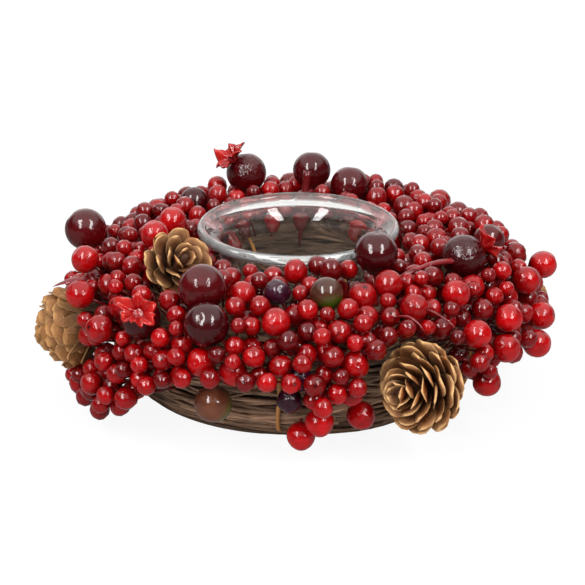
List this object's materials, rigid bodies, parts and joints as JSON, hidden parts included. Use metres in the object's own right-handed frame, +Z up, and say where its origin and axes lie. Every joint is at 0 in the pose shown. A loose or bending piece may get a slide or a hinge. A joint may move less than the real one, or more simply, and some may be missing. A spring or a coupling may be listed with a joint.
{
  "type": "candle ring",
  "caption": "Table candle ring: a flared glass cup standing in a wound vine wreath dressed with lacquered berries on wires, dark fruits and conifer cones.",
  "frame": {"origin": "centre of the cup's foot, on the table", "axes": "+Z up along the cup's axis, -Y towards the side seen in the picture"},
  "size_m": [0.2218, 0.2137, 0.087],
  "materials": {
    "clear_glass": "clear, polished",
    "vine_bark": "dry bark, matt",
    "rattan": "split rattan, matt",
    "cone_scale": "dry cone scales, matt",
    "crown_red": "lacquered",
    "berry_red": "lacquered",
    "wire_red": "coated",
    "stem_red": "lacquered",
    "sloe_purple": "lacquered",
    "fruit_unripe": "lacquered",
    "fruit_dark": "lacquered"
  },
  "bodies": {
    "wreath": {"berry_pick_01": "berry_red", "berry_pick_02": "berry_red", "berry_pick_03": "berry_red", "berry_pick_04": "berry_red", "berry_pick_05": "berry_red", "berry_pick_06": "berry_red", "berry_pick_07": "berry_red", "berry_pick_08": "berry_red", "berry_pick_09": "berry_red", "berry_pick_10": "berry_red", "berry_pick_11": "berry_red", "berry_pick_12": "berry_red", "cone_back_left": "cone_scale", "cone_back_right": "cone_scale", "cone_cup_left": "cone_scale", "cone_front_right": "cone_scale", "cone_left": "cone_scale", "cone_right": "cone_scale", "plum_back": "fruit_dark", "plum_back_right": "fruit_dark", "plum_cup_left": "fruit_dark", "plum_cup_right": "fruit_dark", "plum_front_left": "fruit_dark", "plum_left": "fruit_dark", "plum_mid_left": "fruit_dark", "plum_right": "fruit_dark", "pomegranate_back": "fruit_dark", "pomegranate_back_crown": "crown_red", "pomegranate_left": "fruit_dark", "pomegranate_left_crown": "crown_red", "pomegranate_right": "fruit_dark", "pomegranate_right_crown": "crown_red", "rattan_ties": "rattan", "sloes": "sloe_purple", "stems": "stem_red", "unripe_plum_cup": "fruit_unripe", "unripe_plum_front": "fruit_unripe", "vine_1": "vine_bark", "vine_2": "vine_bark", "vine_3": "vine_bark", "vine_4": "vine_bark", "vine_5": "vine_bark", "vine_6": "vine_bark", "vine_7": "vine_bark", "vine_8": "vine_bark", "vine_core": "vine_bark", "wire_pick_01": "wire_red", "wire_pick_02": "wire_red", "wire_pick_03": "wire_red", "wire_pick_04": "wire_red", "wire_pick_05": "wire_red", "wire_pick_06": "wire_red", "wire_pick_07": "wire_red", "wire_pick_08": "wire_red", "wire_pick_09": "wire_red", "wire_pick_10": "wire_red", "wire_pick_11": "wire_red", "wire_pick_12": "wire_red"},
    "cup": {"glass_cup": "clear_glass"}
  },
  "joints": [
    {"name": "cup_lift", "type": "slide", "parent": "wreath", "child": "cup", "axis": [0, 0, 1], "range_m": [0, 0.1]}
  ]
}
